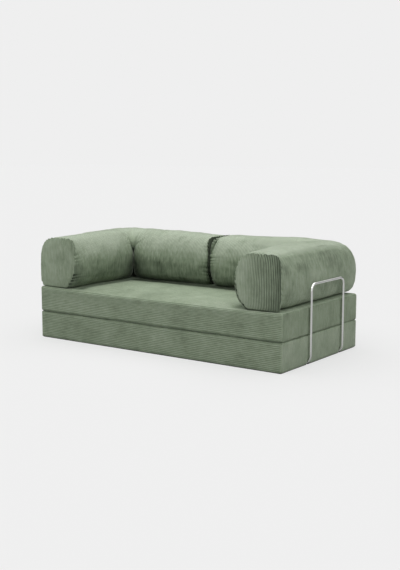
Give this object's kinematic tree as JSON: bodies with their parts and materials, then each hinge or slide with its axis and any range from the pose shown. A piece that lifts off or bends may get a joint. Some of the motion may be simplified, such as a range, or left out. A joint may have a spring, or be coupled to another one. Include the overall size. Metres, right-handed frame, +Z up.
{
  "type": "foam sofa bed",
  "caption": "Two-layer foam sofa that folds out into a double bed, with L-shaped bolsters as arms and back, and bent tube brackets at the ends.",
  "frame": {"origin": "on the floor, under the middle of the lower mattress", "axes": "+X along the sofa to the right as seen from the front, +Y to the back, +Z up"},
  "size_m": [2.05, 1.0028, 0.7325],
  "materials": {
    "corduroy": "wide-wale cotton corduroy, sage green, soft pile",
    "foam": "open-cell polyurethane foam, cream",
    "base_cloth": "non-slip woven base cloth, charcoal",
    "bright_tube": "bright plated steel tube",
    "end_plug": "black moulded plug, matt",
    "zip_tape": "woven zip tape, green",
    "zip_teeth": "moulded coil teeth, green",
    "zip_metal": "plain zinc-alloy slider and pull, satin"
  },
  "bodies": {
    "lower_mattress": {"lower_mattress_foam": "foam", "lower_mattress_cover": "corduroy", "lower_mattress_left_side_panel": "corduroy", "lower_mattress_right_side_panel": "corduroy", "lower_mattress_base_cloth": "base_cloth", "fold_seam": "corduroy", "lower_mattress_zip_tape": "zip_tape", "lower_mattress_zip_teeth": "zip_teeth"},
    "upper_mattress": {"upper_mattress_foam": "foam", "upper_mattress_cover": "corduroy", "upper_mattress_left_side_panel": "corduroy", "upper_mattress_right_side_panel": "corduroy", "upper_mattress_zip_tape": "zip_tape", "upper_mattress_zip_teeth": "zip_teeth"},
    "lower_mattress_zip_slider": {"lower_mattress_zip_slider": "zip_metal"},
    "lower_mattress_zip_pull": {"lower_mattress_zip_pull": "zip_metal"},
    "upper_mattress_zip_slider": {"upper_mattress_zip_slider": "zip_metal"},
    "upper_mattress_zip_pull": {"upper_mattress_zip_pull": "zip_metal"},
    "left_bolster": {"left_arm_foam": "foam", "left_back_foam": "foam", "left_bolster_cover": "corduroy", "left_bolster_front_panel": "corduroy", "left_bolster_middle_panel": "corduroy", "left_bolster_base_panel": "corduroy", "left_bolster_zip_tape": "zip_tape", "left_bolster_zip_teeth": "zip_teeth"},
    "left_bolster_zip_slider": {"left_bolster_zip_slider": "zip_metal"},
    "left_bolster_zip_pull": {"left_bolster_zip_pull": "zip_metal"},
    "right_bolster": {"right_arm_foam": "foam", "right_back_foam": "foam", "right_bolster_cover": "corduroy", "right_bolster_front_panel": "corduroy", "right_bolster_middle_panel": "corduroy", "right_bolster_base_panel": "corduroy", "right_bolster_zip_tape": "zip_tape", "right_bolster_zip_teeth": "zip_teeth"},
    "right_bolster_zip_slider": {"right_bolster_zip_slider": "zip_metal"},
    "right_bolster_zip_pull": {"right_bolster_zip_pull": "zip_metal"},
    "left_bracket": {"left_bracket_tube": "bright_tube", "left_bracket_front_cap": "end_plug", "left_bracket_rear_cap": "end_plug"},
    "right_bracket": {"right_bracket_tube": "bright_tube", "right_bracket_front_cap": "end_plug", "right_bracket_rear_cap": "end_plug"}
  },
  "joints": [
    {"name": "mattress_fold", "type": "hinge", "parent": "lower_mattress", "child": "upper_mattress", "pos_m": [0, -0.496, 0.19], "axis": [1, 0, 0], "range_deg": [0, 180]},
    {"name": "lower_mattress_zip_slide", "type": "slide", "parent": "lower_mattress", "child": "lower_mattress_zip_slider", "axis": [-1, 0, 0], "range_m": [0, 1.85]},
    {"name": "lower_mattress_pull_swing", "type": "hinge", "parent": "lower_mattress_zip_slider", "child": "lower_mattress_zip_pull", "pos_m": [0.9267, 0.5027, 0.09488], "axis": [0, 0, 1], "range_deg": [0, 165]},
    {"name": "upper_mattress_zip_slide", "type": "slide", "parent": "upper_mattress", "child": "upper_mattress_zip_slider", "axis": [-1, 0, 0], "range_m": [0, 1.85]},
    {"name": "upper_mattress_pull_swing", "type": "hinge", "parent": "upper_mattress_zip_slider", "child": "upper_mattress_zip_pull", "pos_m": [0.9267, 0.5027, 0.28513], "axis": [0, 0, 1], "range_deg": [0, 165]},
    {"name": "left_bolster_carry", "type": "hinge", "parent": "upper_mattress", "child": "left_bolster", "pos_m": [0, 0.511, 0.38025], "axis": [1, 0, 0], "range_deg": [-180, 0]},
    {"name": "left_bolster_zip_slide", "type": "slide", "parent": "left_bolster", "child": "left_bolster_zip_slider", "axis": [1, 0, 0], "range_m": [0, 0.795]},
    {"name": "left_bolster_pull_swing", "type": "hinge", "parent": "left_bolster_zip_slider", "child": "left_bolster_zip_pull", "pos_m": [-0.8747, 0.4977, 0.4509], "axis": [0, 0, -1], "range_deg": [0, 165]},
    {"name": "right_bolster_carry", "type": "hinge", "parent": "upper_mattress", "child": "right_bolster", "pos_m": [0, 0.511, 0.38025], "axis": [1, 0, 0], "range_deg": [-180, 0]},
    {"name": "right_bolster_zip_slide", "type": "slide", "parent": "right_bolster", "child": "right_bolster_zip_slider", "axis": [-1, 0, 0], "range_m": [0, 0.795]},
    {"name": "right_bolster_pull_swing", "type": "hinge", "parent": "right_bolster_zip_slider", "child": "right_bolster_zip_pull", "pos_m": [0.8747, 0.4977, 0.4509], "axis": [0, 0, 1], "range_deg": [0, 165]},
    {"name": "left_bracket_draw", "type": "slide", "parent": "lower_mattress", "child": "left_bracket", "axis": [-1, 0, 0], "range_m": [0, 0.35]},
    {"name": "right_bracket_draw", "type": "slide", "parent": "lower_mattress", "child": "right_bracket", "axis": [1, 0, 0], "range_m": [0, 0.35]}
  ],
  "couplings": [
    {"joint": "left_bolster_carry", "follows": "mattress_fold", "ratio": -1},
    {"joint": "right_bolster_carry", "follows": "mattress_fold", "ratio": -1}
  ]
}
